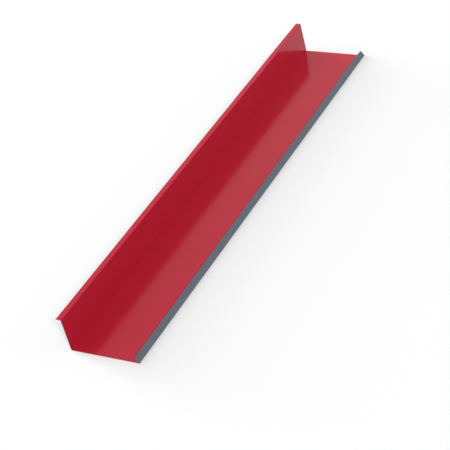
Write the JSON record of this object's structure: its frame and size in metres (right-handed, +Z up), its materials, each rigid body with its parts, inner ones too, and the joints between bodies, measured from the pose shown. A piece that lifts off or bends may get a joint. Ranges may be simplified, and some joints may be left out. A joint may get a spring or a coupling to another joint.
{
  "type": "wall abutment flashing",
  "caption": "Folded sheet-steel strip with a flat apron, an upstand with a turned-out lip, and a welted front edge; seals a roof where it meets a wall.",
  "frame": {"origin": "middle of the apron's underside", "axes": "+Y along the length, +X from the wall towards the front edge of the apron, +Z up from the roof"},
  "size_m": [0.2968, 2, 0.1314],
  "materials": {
    "painted_sheet": "semi-gloss red coat on the weather side, grey coat on the back"
  },
  "bodies": {
    "root": {"flashing_sheet": "painted_sheet"}
  },
  "joints": []
}
